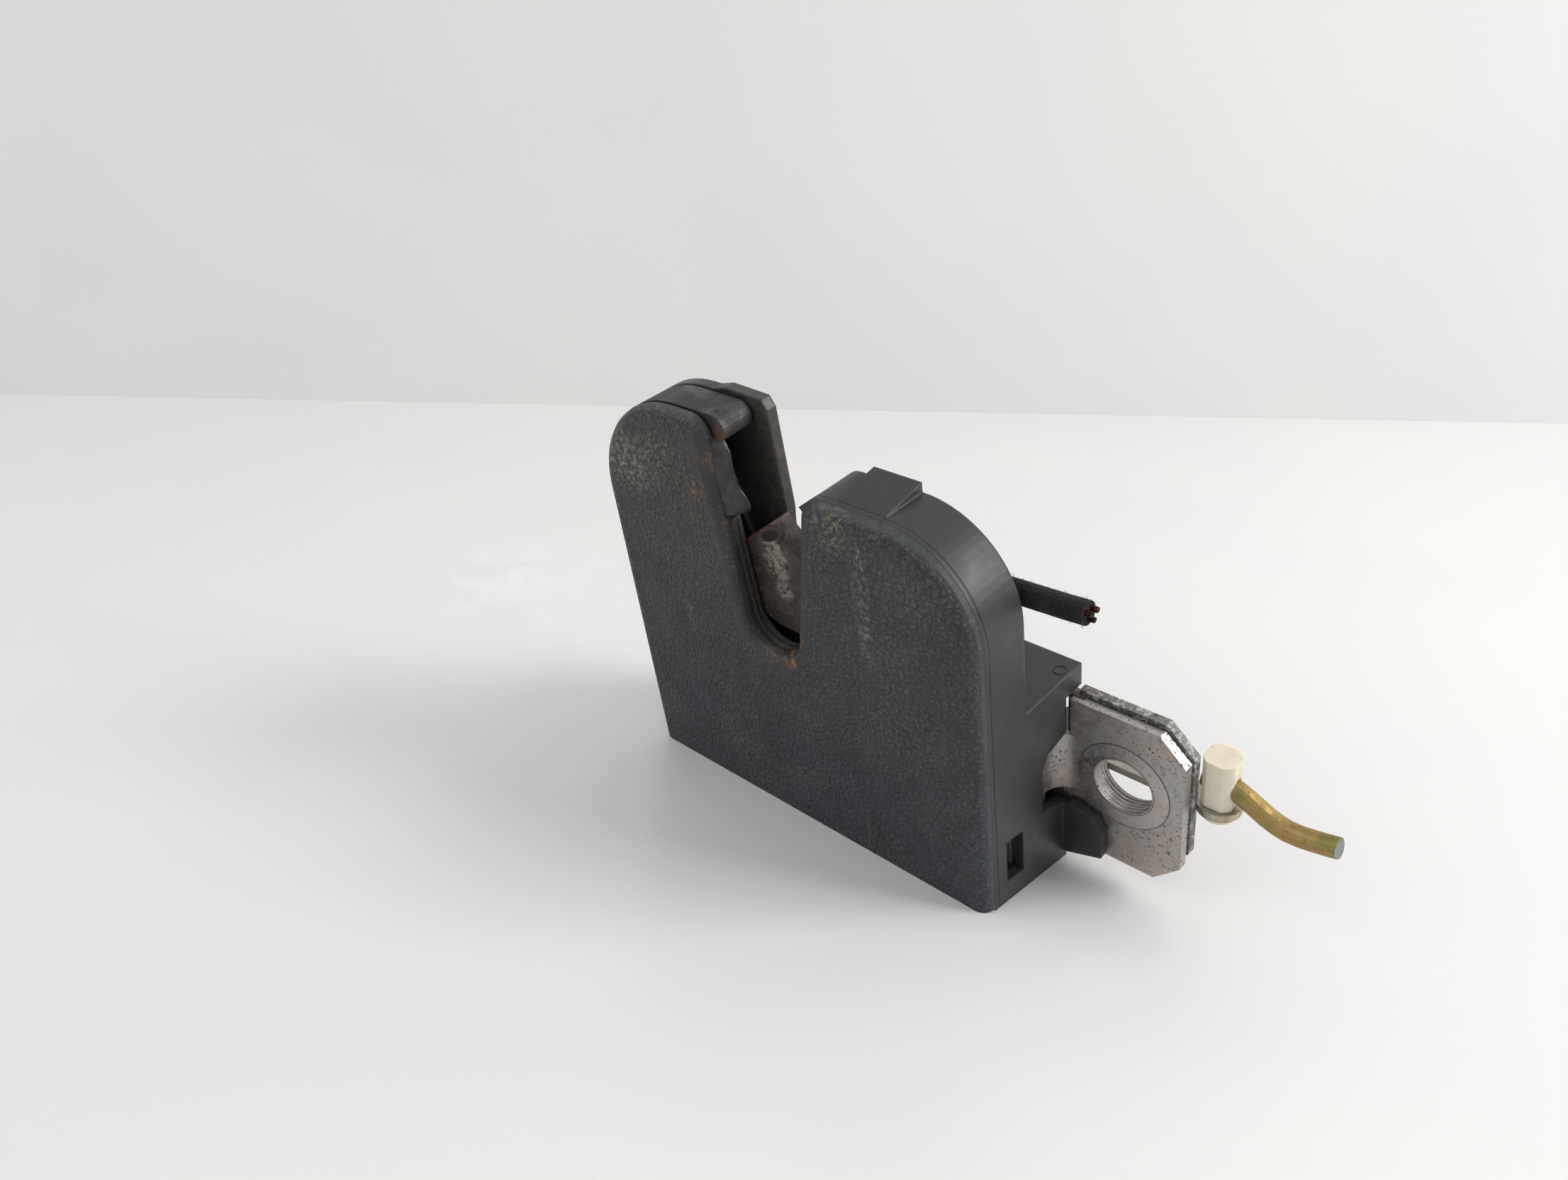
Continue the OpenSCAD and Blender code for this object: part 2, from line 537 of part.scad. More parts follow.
// Round bar swept along places in the XZ plane
module tube_in_xz(route, r, sides) {
    n = len(route);
    heading = [for (k = [0 : n - 1]) route[min(k + 1, n - 1)] - route[max(k - 1, 0)]];
    side = [for (h = heading) [-h[1], h[0]] / norm(h)];
    points = [for (k = [0 : n - 1]) for (j = [0 : sides - 1])
        [route[k][0] + r * sin(360 * j / sides) * side[k][0], r * cos(360 * j / sides), route[k][1] + r * sin(360 * j / sides) * side[k][1]]];
    skin = [for (k = [0 : n - 2]) for (j = [0 : sides - 1])
        [k * sides + j, k * sides + (j + 1) % sides, (k + 1) * sides + (j + 1) % sides, (k + 1) * sides + j]];
    polyhedron(points, concat(skin, [[for (j = [sides - 1 : -1 : 0]) j]], [[for (j = [0 : sides - 1]) (n - 1) * sides + j]]));
}

// Boot light switch on the back of the shoulder
module switch_body() set_down() color(smooth_plastic) difference() {
    translate([-switch_in - switch_l, upper_d, switch_z - switch_h / 2]) cube([switch_l, switch_d, switch_h]);
    bar_along_y(plunger_x, upper_d - 1, switch_z, plunger_r + seat_gap, 5);
    translate([-switch_in - 3, loom_y, loom_z]) rotate([0, 90, 0]) cylinder(r = loom_dia / 2, h = 5, $fn = 32);
}

module switch_plunger() set_down() color(cream)
    bar_along_y(plunger_x, claw_y + claw_t + seat_gap, switch_z, plunger_r, upper_d + 2 - frame_y);

module switch_terminals() set_down() color(spring_steel) for (s = [-1.6, 1.6])
    translate([-switch_in - 6 + s, upper_d + switch_d, switch_z - 0.4]) cube([1.6, 2.2, 0.8]);

// Route of the loom from the switch to its cut end
loom_route = [[-25, 18, 57], [-20, 18, 57], [-15, 18, 57.1], [-10, 18, 57.3], [-5, 18, 57.6], [0, 18, 57.9], [5, 18, 58.2], [8.5, 18, 58.5]];

module tube_along_x(route, r, sides) {
    n = len(route);
    points = [for (p = route) for (j = [0 : sides - 1]) p + r * [0, cos(360 * j / sides), sin(360 * j / sides)]];
    skin = [for (k = [0 : n - 2]) for (j = [0 : sides - 1])
        [k * sides + j, k * sides + (j + 1) % sides, (k + 1) * sides + (j + 1) % sides, (k + 1) * sides + j]];
    polyhedron(points, concat(skin, [[for (j = [sides - 1 : -1 : 0]) j]], [[for (j = [0 : sides - 1]) (n - 1) * sides + j]]));
}

module loom() set_down() color(fleece) tube_along_x(loom_route, loom_dia / 2 - 0.02, 10);

module loom_wires() set_down() color(copper) for (w = [[-0.8, 0.6], [0.9, 0.5], [0, -0.9]])
    translate([8.5, loom_y + w[0], loom_end_z + 0.1 + w[1]]) rotate([0, 90, 0]) cylinder(r = 0.5, h = 1.2, $fn = 16);

// Screws that hold the frame plate's boss heads behind the cover
module cover_screws() set_down() color(steel) for (p = screw_places)
    bar_along_y(p[0], cover_t + 0.1, p[1], screw_r, 6);

front_cover();
mouth_liner();
rear_housing();
rear_cover();
horn_buffer();
frame_plate();
tab_doubler();
backing_plate();
claw();
claw_pin();
claw_spring();
claw_stop();
pawl();
pawl_pin();
pawl_spring();
release_bar();
bar_guides();
bar_spring();
rod_clip();
pull_rod();
switch_body();
switch_plunger();
switch_terminals();
loom();
loom_wires();
cover_screws();
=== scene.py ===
# %% [markdown]
# # A boot lid lock, dressed for its portrait
# The lock itself, with every solid in its place, comes from the CAD model. This script adds what a camera
# sees: moulded grain, dust, rust, zinc, tape fibres, and the small worn forms that only looks need.
# Everything is in metres, and nothing here changes the size of the lock.

# %% Load the frame
import math
import random

import bmesh
import bpy
from mathutils import Matrix, Vector


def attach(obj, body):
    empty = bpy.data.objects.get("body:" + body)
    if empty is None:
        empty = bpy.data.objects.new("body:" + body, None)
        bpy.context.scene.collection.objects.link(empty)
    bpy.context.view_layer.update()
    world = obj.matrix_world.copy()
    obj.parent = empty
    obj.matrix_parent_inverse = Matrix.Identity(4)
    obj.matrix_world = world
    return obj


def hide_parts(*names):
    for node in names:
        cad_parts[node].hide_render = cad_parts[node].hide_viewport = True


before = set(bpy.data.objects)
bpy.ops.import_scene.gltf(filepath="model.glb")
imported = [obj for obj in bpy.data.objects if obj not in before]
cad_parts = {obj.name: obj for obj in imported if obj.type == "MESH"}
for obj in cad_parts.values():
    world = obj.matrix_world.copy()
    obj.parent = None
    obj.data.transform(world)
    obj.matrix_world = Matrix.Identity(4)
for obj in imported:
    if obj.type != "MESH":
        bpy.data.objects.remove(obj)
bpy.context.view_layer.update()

# %% [markdown]
# ## One way to say where things are
# The maker of the lock thinks from the housing's right wall (X), its front face (Y) and its front lower
# edge (Z), in millimetres. The lock stands on a slanted base, so these axes lean 12 degrees in the scene.
# One matrix turns the maker's millimetres into scene metres, and every piece below uses it.

# %% The lock's own axes
LEAN = math.radians(12)
HOUSING_W, BLOCK_D = 85.0, 29.8
CORNER = (HOUSING_W / 2000, -BLOCK_D / 2000, 0)  # front lower right corner, in scene metres
to_scene = Matrix.Translation(CORNER) @ Matrix.Rotation(LEAN, 4, "X") @ Matrix.Scale(0.001, 4)


def at(x, y, z):
    """A place in the lock's own millimetres, as a scene point in metres."""
    return to_scene @ Vector((x, y, z))


print("front lower right corner", tuple(round(v, 4) for v in at(0, 0, 0)))

# %% [markdown]
# ## The camera
# The photograph was taken from the right and a little above, with a wide phone lens close to the lock.
# The place, turn and focal length were worked out from the edges of the housing, so that the corners of
# the front face and the fixing tab fall where the photograph has them. Depth of field stays off.

# %% Camera
CAMERA_PLACE = (0.1373, -0.17057, 0.14848)
SENSOR_MM, LENS_MM = 36, 29.45
camera_data = bpy.data.cameras.new("camera")
camera_data.sensor_width = SENSOR_MM
camera_data.lens = LENS_MM
camera_data.clip_start = 0.01
camera = bpy.data.objects.new("camera", camera_data)
bpy.context.scene.collection.objects.link(camera)
view_right, view_down = (0.724, 0.6890, 0.0197), (0.311, -0.3012, -0.9013)
view_on = (-0.615, 0.6593, -0.4324)
turn = Matrix([[view_right[i], -view_down[i], -view_on[i]] for i in range(3)]).to_4x4()
camera.matrix_world = Matrix.Translation(CAMERA_PLACE) @ turn
bpy.context.scene.camera = camera
bpy.context.scene.view_settings.view_transform = "Standard"
print("camera at", tuple(round(v, 3) for v in camera.location))

# %% [markdown]
# ## Helpers for finishes
# A colour is written as the hex value one would pick from a screen, and Cycles works in linear light, so
# one function converts it. Another adds a shader node, sets it and wires it in one go. The small ones after
# it are named for what they do to a value or a colour, which keeps each finish short enough to read as a
# recipe. Lengths inside a pattern are metres, and arguments that end in mm are millimetres. The low and high
# marks given to a pattern lie between 0 and 1 and were chosen against the photograph.

# %% Colour and node helpers


def linear(hex_colour):
    """An sRGB hex colour as the linear RGBA that shaders use."""
    parts = [int(hex_colour[i:i + 2], 16) / 255 for i in (1, 3, 5)]
    return [p / 12.92 if p <= 0.04045 else ((p + 0.055) / 1.055) ** 2.4 for p in parts] + [1.0]


def add(tree, kind, inputs=None, **settings):
    """Adds one node: settings are its own properties, inputs are sockets by name or number."""
    made = tree.nodes.new(kind)
    for name, value in settings.items():
        setattr(made, name, value)
    for name, value in (inputs or {}).items():
        if isinstance(value, bpy.types.NodeSocket):
            tree.links.new(value, made.inputs[name])
        else:
            made.inputs[name].default_value = value
    return made


SHORT = {"base": "Base Color", "rough": "Roughness", "normal": "Normal", "metal": "Metallic", "ior": "IOR"}


def skin(tree, shader, **looks):
    """Wires or sets the shader's sockets by the short names above."""
    for name, value in looks.items():
        socket = shader.inputs[SHORT[name]]
        if isinstance(value, bpy.types.NodeSocket):
            tree.links.new(value, socket)
        else:
            socket.default_value = value


def new_finish(name):
    """An empty material with its surface shader: gives material, tree and shader."""
    material = bpy.data.materials.new(name)
    material.use_nodes = True
    tree = material.node_tree
    tree.nodes.clear()
    shader = tree.nodes.new("ShaderNodeBsdfPrincipled")
    out = tree.nodes.new("ShaderNodeOutputMaterial")
    tree.links.new(shader.outputs["BSDF"], out.inputs["Surface"])
    return material, tree, shader


def own_axes(tree):
    """Object coordinates turned into the lock's own axes, in metres."""
    place = add(tree, "ShaderNodeTexCoord").outputs["Object"]
    inputs = {"Vector": place, "Location": CORNER, "Rotation": (LEAN, 0, 0)}
    return add(tree, "ShaderNodeMapping", inputs, vector_type="TEXTURE").outputs["Vector"]


def stretched(tree, vector, scale, rotation=(0, 0, 0)):
    """The vector scaled and turned, for a pattern that runs one way."""
    inputs = {"Vector": vector, "Scale": scale, "Rotation": rotation}
    return add(tree, "ShaderNodeMapping", inputs).outputs["Vector"]


def noise(tree, vector, size_mm, detail=4, rough=0.55, distort=0.0):
    """Noise whose blotches are about size_mm across."""
    inputs = {"Vector": vector, "Scale": 1000 / size_mm, "Detail": detail, "Roughness": rough,
              "Distortion": distort}
    return add(tree, "ShaderNodeTexNoise", inputs).outputs["Fac"]


def between(tree, value, low, high, to_low=0.0, to_high=1.0):
    """A smooth step: value from low to high becomes to_low to to_high."""
    inputs = {"Value": value, "From Min": low, "From Max": high, "To Min": to_low, "To Max": to_high}
    return add(tree, "ShaderNodeMapRange", inputs, interpolation_type="SMOOTHSTEP").outputs["Result"]


def fading(tree, value, low, high):
    """1 below low, falling smoothly to 0 at high."""
    return between(tree, value, low, high, 1.0, 0.0)


def blotches(tree, vector, size_mm, low, high, detail=4, rough=0.55, distort=0.0):
    """Blotches about size_mm across: 0 where the noise is under low, 1 where it is over high."""
    return between(tree, noise(tree, vector, size_mm, detail, rough, distort), low, high)


def sums(tree, operation, a, b):
    """One sum on two numbers or sockets."""
    return add(tree, "ShaderNodeMath", {0: a, 1: b}, operation=operation).outputs["Value"]


def times(tree, a, b):
    """a times b."""
    return sums(tree, "MULTIPLY", a, b)


def plus(tree, a, b):
    """a plus b."""
    return sums(tree, "ADD", a, b)


def minus(tree, a, b):
    """a minus b."""
    return sums(tree, "SUBTRACT", a, b)


def larger(tree, a, b):
    """The larger of a and b."""
    return sums(tree, "MAXIMUM", a, b)


def smaller(tree, a, b):
    """The smaller of a and b."""
    return sums(tree, "MINIMUM", a, b)


def away(tree, value, middle):
    """How far a value lies from middle, on either side."""
    return sums(tree, "ABSOLUTE", minus(tree, value, middle), 0)


def mixed(tree, amount, first, second):
    """Colour first with second laid over it by amount."""
    blend = add(tree, "ShaderNodeMix", data_type="RGBA")
    for socket, value in ((blend.inputs[0], amount), (blend.inputs[6], first), (blend.inputs[7], second)):
        if isinstance(value, bpy.types.NodeSocket):
            tree.links.new(value, socket)
        else:
            socket.default_value = value
    return blend.outputs[2]


def two_tone(tree, first_hex, second_hex, amount):
    """One hex colour with a second laid over it by amount."""
    return mixed(tree, amount, linear(first_hex), linear(second_hex))


def over(tree, under, hex_colour, amount, strength=1.0):
    """A hex colour laid over the colour under it, by amount and at most by strength."""
    return mixed(tree, times(tree, amount, strength), under, linear(hex_colour))


def bump(tree, height, depth_mm, under=None):
    """Bump from a 0 to 1 height, depth_mm deep, on top of the normal under it."""
    inputs = {"Height": height, "Distance": depth_mm / 1000, "Strength": 1.0}
    if under is not None:
        inputs["Normal"] = under
    return add(tree, "ShaderNodeBump", inputs).outputs["Normal"]


def vectors(tree, operation, a, b):
    """One sum on two vectors: its node, for the output that the sum has."""
    return add(tree, "ShaderNodeVectorMath", {0: a, 1: b}, operation=operation)


def near(tree, vector, place_mm, reach_mm, soft_mm):
    """1 within reach_mm of a place in the lock's axes, down to 0 over soft_mm."""
    gap = vectors(tree, "DISTANCE", vector, tuple(v / 1000 for v in place_mm)).outputs["Value"]
    return fading(tree, gap, reach_mm / 1000, (reach_mm + soft_mm) / 1000)


def parts_of(tree, vector):
    """X, Y and Z of a vector as three sockets."""
    split = add(tree, "ShaderNodeSeparateXYZ", {"Vector": vector})
    return split.outputs["X"], split.outputs["Y"], split.outputs["Z"]


def dress(finish, *nodes):
    """Puts a finish on CAD nodes."""
    for name in nodes:
        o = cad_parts[name]
        o.data.materials.clear()
        o.data.materials.append(finish)
    print(finish.name, "on", ", ".join(nodes))


print("short names for the shader's sockets:", SHORT)

# %% [markdown]
# ## Pieces made here
# A new piece is added as a primitive, shaped, and then its place is moved into its mesh, so that its object
# sits at the scene's origin like a CAD node. That way every pattern that reads Object coordinates lines up
# with the lock.

# %% Helpers for pieces


def alone(o):
    """Makes o the only selected and active object."""
    for other in list(bpy.context.selected_objects):
        other.select_set(False)
    o.select_set(True)
    bpy.context.view_layer.objects.active = o


def stand(o, x, y, z, turns=()):
    """Puts o at the lock's own place, leaning with it, after turns of (degrees, axis)."""
    o.matrix_world = Matrix.Translation(at(x, y, z)) @ Matrix.Rotation(LEAN, 4, "X")
    for degrees, axis in turns:
        o.matrix_world = o.matrix_world @ Matrix.Rotation(math.radians(degrees), 4, axis)


def modify(o, kind, **settings):
    """Adds one modifier and applies it."""
    alone(o)
    made = o.modifiers.new(kind.lower(), kind)
    for name, value in settings.items():
        setattr(made, name, value)
    bpy.ops.object.modifier_apply(modifier=made.name)


def stretch(o, *factors):
    """Scales o along its own axes and moves the scale into its mesh."""
    o.scale = factors
    alone(o)
    bpy.ops.object.transform_apply(location=False, rotation=False, scale=True)


def ring(radius_mm, tube_mm, segments, sides):
    """Adds a flat ring of round section."""
    bpy.ops.mesh.primitive_torus_add(major_radius=radius_mm / 1000, minor_radius=tube_mm / 1000,
                                     major_segments=segments, minor_segments=sides)
    return bpy.context.object


def settle(o, name, finish, body="housing", smooth=30):
    """Names a piece, moves its place into its mesh, finishes it and hands it to its body."""
    alone(o)
    bpy.ops.object.transform_apply(location=True, rotation=True, scale=True)
    bpy.ops.object.shade_smooth_by_angle(angle=math.radians(smooth))
    o.name = name
    o.data.materials.clear()
    o.data.materials.append(finish)
    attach(o, body)
    print(name, len(o.data.polygons), "faces")


print("a new piece leans by", round(math.degrees(LEAN), 1), "degrees, as the lock does")

# %% [markdown]
# ## The cover's grain
# The front cover is polypropylene, moulded in a tool whose surface was etched to a leather grain. The cells
# are about 1 mm wide with soft valleys between them, so a Voronoi pattern with its cell edges as the valleys
# comes closest, with a finer noise on top. Its cells are pushed a little out of line, because an even pattern
# looks printed.

# %% Leather grain
GRAIN_MM = 1.15
GRAIN_WARP = 0.0007


def leather_grain(tree, vector):
    """The grain as two sockets: distance from a cell's edge, and height."""
    wobble = add(tree, "ShaderNodeTexNoise", {"Vector": vector, "Scale": 900, "Detail": 2}).outputs["Color"]
    push = vectors(tree, "MULTIPLY", wobble, (GRAIN_WARP,) * 3).outputs["Vector"]
    inputs = {"Vector": vectors(tree, "ADD", vector, push).outputs["Vector"], "Scale": 1000 / GRAIN_MM}
    cells = add(tree, "ShaderNodeTexVoronoi", inputs, feature="DISTANCE_TO_EDGE").outputs["Distance"]
    hills = between(tree, cells, 0.0, 0.28)
    return cells, plus(tree, times(tree, hills, 0.75), times(tree, noise(tree, vector, 0.35, 3), 0.25))


print("grain cells", GRAIN_MM, "mm")

# %% [markdown]
# ## How far from the mouth
# The smooth band round the mouth, its rust and its grime all follow the same outline: a round end with two
# sides that open upward. One function measures the distance from the mouth's middle line, so that each finish
# only picks the range that it wants.

# %% Distance from the mouth
MOUTH_X, MOUTH_Z = -45.0, 45.5  # middle of the round end
MOUTH_TAPER = 0.10              # how much wider each side gets per length upward


def mouth_gap(tree, vector):
    """Distance from the mouth's middle line, which runs up from its round end, in metres."""
    x, _, z = parts_of(tree, vector)
    across = away(tree, x, MOUTH_X / 1000)
    up = minus(tree, z, MOUTH_Z / 1000)
    below = smaller(tree, up, 0)
    squared = plus(tree, times(tree, across, across), times(tree, below, below))
    widening = times(tree, larger(tree, up, 0), MOUTH_TAPER)
    return minus(tree, sums(tree, "SQRT", squared, 0), widening)


print("mouth's round end at", MOUTH_X, MOUTH_Z, "mm")

# %% [markdown]
# ## Streaks, stains and scratches
# Hands and bags have rubbed the cover in places that the photograph shows. Noise alone would put such marks
# anywhere, so each one is a short row in a list: where it is, how far it reaches, its colour and strength.
# The noise only breaks up its edge.

# %% Marks on the cover
STREAK_FADE = 0.006
SCRATCH_X, SCRATCH_Z = -0.045, 0.0242  # fine scratches below the mouth
# streaks in mm: place across, lower end, upper end, half width; then strength
STREAKS = [(-22.0, 44, 73, 2.6, 0.75), (-66.8, 33, 45, 1.8, 0.5)]
# stains in mm: place across, height, reach, soft edge; then colour and strength
PATCHES = [(-77, 70, 2.0, 8.0, "#99937f", 0.8), (-68, 73, 1.0, 8.0, "#857f69", 0.6),
           (-60, 75, 1.0, 5.0, "#5f5848", 0.6), (-59.2, 69.2, 0.8, 3.2, "#8a6742", 0.75),
           (-61, 64, 0.5, 4.0, "#7a5f42", 0.5), (-60, 56, 1.5, 9.0, "#5f574a", 0.35),
           (-27.5, 70.9, 1.5, 4.0, "#8f866f", 0.7), (-12, 64, 2.0, 7.0, "#77736b", 0.4),
           (-41.0, 39.2, 0.9, 1.6, "#a0682f", 0.9), (-38.4, 45.0, 0.4, 2.2, "#8f6238", 0.6),
           (-45.5, 37.8, 0.8, 3.0, "#6f553c", 0.6)]


def marked(tree, v, base):
    """The base colour with streaks, stains and fine scratches laid over it."""
    x, _, z = parts_of(tree, v)
    for streak_x, low_z, high_z, width, amount in STREAKS:
        across = fading(tree, away(tree, x, streak_x / 1000), 0.0, width / 1000)
        low_end = between(tree, z, low_z / 1000, low_z / 1000 + STREAK_FADE)
        high_end = fading(tree, z, high_z / 1000 - STREAK_FADE, high_z / 1000)
        run = times(tree, across, times(tree, low_end, high_end))
        run = times(tree, run, blotches(tree, v, 1.3, 0.42, 0.66, 4, 0.7))
        base = over(tree, base, "#8d857b", run, amount)
    for patch_x, patch_z, reach, soft, hex_colour, amount in PATCHES:
        patch = near(tree, v, (patch_x, 0.5, patch_z), reach, soft)
        patch = times(tree, patch, blotches(tree, v, 1.1, 0.44, 0.64, 5, 0.75))
        base = over(tree, base, hex_colour, patch, amount)
    scratched = blotches(tree, stretched(tree, v, (0.5, 1, 3.5), (0, 0.10, 0)), 1.7, 0.58, 0.66, 5, 0.8)
    here = times(tree, fading(tree, away(tree, z, SCRATCH_Z), 0.0, 0.006),
                 fading(tree, away(tree, x, SCRATCH_X), 0.010, 0.020))
    return over(tree, base, "#8a6f55", times(tree, scratched, here), 0.6)


print(len(STREAKS), "streaks and", len(PATCHES), "stains")

# %% [markdown]
# ## The front cover
# Grain, dust, marks and rust now come together in one finish. The grain fades out in a smooth band round the
# mouth and behind the front's rounded edge, pale brown dust lies on it in blotches, and rust has washed out
# of the mouth.

# %% Grained cover finish
BAND_END, GRAIN_START = 0.0082, 0.0104  # gap from the mouth's middle line
RUST_FULL, RUST_END = 0.0062, 0.0115    # gap from the mouth's middle line
EDGE_START, EDGE_END = 0.0003, 0.0016   # depth behind the front face


def dusty_plastic(name, base_hex, grain_depth_mm, rust_amount, dust_amount):
    """Grained black moulding with dust, marks and, near the mouth, rust."""
    finish, tree, shader = new_finish(name)
    v = own_axes(tree)
    _, y, z = parts_of(tree, v)
    cells, grain = leather_grain(tree, v)
    gap = mouth_gap(tree, v)
    band = fading(tree, gap, BAND_END, GRAIN_START)
    flat = larger(tree, band, between(tree, y, EDGE_START, EDGE_END))
    height = plus(tree, times(tree, grain, minus(tree, 1.0, flat)), times(tree, flat, 0.6))
    skin(tree, shader, normal=bump(tree, height, grain_depth_mm))

    broad = noise(tree, v, 22, 5, 0.6, 0.4)
    speck = noise(tree, v, 0.9, 4, 0.7)
    dust = times(tree, between(tree, broad, 0.42, 0.72), between(tree, speck, 0.46, 0.68))
    dust = times(tree, dust, dust_amount)
    base = two_tone(tree, base_hex, "#22262b", blotches(tree, v, 9, 0.3, 0.75, 4))
    # Paler and greener towards the top, in broad blotches.
    paler_upward = times(tree, between(tree, z, 0.012, 0.05), blotches(tree, v, 30, 0.2, 0.7, 3))
    base = over(tree, base, "#3d3e38", paler_upward, 0.6)
    # Painted shade: the grain's valleys are darkened as if shade lay in them.
    shaded_valleys = times(tree, minus(tree, 1.0, flat), between(tree, cells, 0.0, 0.18, 0.55, 0.0))
    base = over(tree, base, "#16181b", shaded_valleys)
    # Painted glints: small light specks scattered over the grain.
    glint = blotches(tree, v, 0.6, 0.56, 0.66, 3, 0.7)
    base = over(tree, base, "#5c646d", glint, 0.55)
    base = over(tree, base, "#7a7568", dust)
    # The smooth band round the mouth is also painted darker: painted shade on the mouth's rounded edge.
    base = over(tree, base, "#1b1c1e", band, 0.75)
    fleck = blotches(tree, v, 0.55, 0.60, 0.68, 4, 0.8)
    base = over(tree, base, "#8a7d66", times(tree, band, fleck), 0.6)
    base = marked(tree, v, base)
    rust = times(tree, fading(tree, gap, RUST_FULL, RUST_END), blotches(tree, v, 3.2, 0.50, 0.68, 5, 0.7))
    rust = times(tree, rust, between(tree, speck, 0.40, 0.60))
    base = over(tree, base, "#7d5a38", rust, rust_amount)
    skin(tree, shader, base=base)
    rough = plus(tree, between(tree, noise(tree, v, 4, 3), 0.2, 0.8, 0.46, 0.60), times(tree, dust, 0.25))
    skin(tree, shader, rough=rough, ior=1.49)
    return finish


grained = dusty_plastic("grained_polypropylene", "#33373d", 0.6, 0.35, 0.55)
dress(grained, "front_cover")

# %% [markdown]
# ## Smooth moulded housing
# The sides of the housing came out of the tool smooth, and they look lighter and greyer where light grazes
# them. A fine line runs round the housing where the two halves of the tool met, a few millimetres behind the
# front face. It is drawn by depth, as a thin dark line in the colour and a groove in the bump. Inside the
# mouth, brown grime lies on the walls up to a certain depth.

# %% Smooth housing finish
PARTING_Y = 3.7
GRIME_FULL, GRIME_END = 0.008, 0.0125     # gap from the mouth's middle line
GRIME_DEEP, GRIME_FLOOR = 0.0132, 0.0150  # depth behind the front face


def smooth_plastic(name, base_hex, parting=True, dirt=0.3):
    """Smooth black moulding with fine dust, scuffs and a parting line."""
    finish, tree, shader = new_finish(name)
    v = own_axes(tree)
    _, y, _ = parts_of(tree, v)
    fine = noise(tree, v, 0.5, 3, 0.6)
    base = two_tone(tree, base_hex, "#303231", blotches(tree, v, 14, 0.35, 0.7, 4, 0.6))
    speck = times(tree, blotches(tree, v, 0.5, 0.62, 0.74, 3, 0.75), blotches(tree, v, 12, 0.4, 0.7, 3))
    base = over(tree, base, "#8d857b", speck, dirt)
    gap = mouth_gap(tree, v)
    grime = times(tree, fading(tree, gap, GRIME_FULL, GRIME_END), blotches(tree, v, 1.6, 0.45, 0.62, 5, 0.75))
    grime = times(tree, grime, fading(tree, y, GRIME_DEEP, GRIME_FLOOR))
    base = over(tree, base, "#5a4c3a", grime, 0.45)
    rounded = add(tree, "ShaderNodeBevel", {"Radius": 0.0007}, samples=6).outputs["Normal"]
    normal = bump(tree, fine, 0.02, rounded)
    if parting:
        line = fading(tree, away(tree, y, PARTING_Y / 1000), 0.00006, 0.00022)
        base = over(tree, base, "#101114", line, 0.8)
        normal = bump(tree, minus(tree, 1.0, line), 0.15, normal)
    skin(tree, shader, base=base, normal=normal)
    skin(tree, shader, rough=between(tree, noise(tree, v, 6, 3), 0.25, 0.8, 0.36, 0.52), ior=1.49)
    return finish


housing_black = smooth_plastic("smooth_polypropylene", "#2b2d2e")
dress(housing_black, "rear_housing", "mouth_liner")
plain_black = smooth_plastic("plain_moulding", "#2e3034", parting=False, dirt=0.2)
dress(plain_black, "rear_cover", "bar_guides", "switch_body")

# %% [markdown]
# ## Rubber of the horn's buffer
# The pad in the horn is the soft rubber that gaskets and bumpers are made of: grey-black, nearly matt, a
# little shinier where it is rubbed, with brown dirt on its tip and a small nick near its top.

# %% Buffer rubber
BUFFER_TIP, BUFFER_NICK = (-53.6, 4.0, 79.5), (-55.4, 4.6, 83.3)
worn_rubber, tree, shader = new_finish("worn_rubber")
v = own_axes(tree)
rubbed = blotches(tree, v, 7, 0.4, 0.65, 4, 0.6)
base = two_tone(tree, "#222425", "#37393a", rubbed)
base = over(tree, base, "#6b5c48", blotches(tree, v, 0.7, 0.57, 0.68, 4, 0.75), 0.5)
tip = near(tree, v, BUFFER_TIP, 0.8, 2.2)
base = over(tree, base, "#4d3828", times(tree, tip, blotches(tree, v, 1.0, 0.40, 0.58, 4, 0.75)))
# The nick is painted near-black: painted shade in its hollow.
nick = near(tree, v, BUFFER_NICK, 0.35, 0.5)
base = over(tree, base, "#0c0c0c", nick)
skin(tree, shader, base=base, rough=between(tree, rubbed, 0, 1, 0.62, 0.42))
worn_skin = minus(tree, noise(tree, v, 1.6, 5, 0.65), times(tree, nick, 2.0))
skin(tree, shader, normal=bump(tree, worn_skin, 0.22), ior=1.52)
dress(worn_rubber, "horn_buffer", "claw_stop")

# %% [markdown]
# ## Zinc plate
# The frame plate is pressed steel sheet with a thin clear-passivated zinc coat. It is a soft silver with a
# warm tinge that drifts over the sheet, a fine grain from rolling, dark pinholes where corrosion has started
# and a little white crust. A metal keeps its colour in the reflection, so the tinge goes into the base
# colour, and the spots and the crust are made less metallic.

# %% Zinc finishes


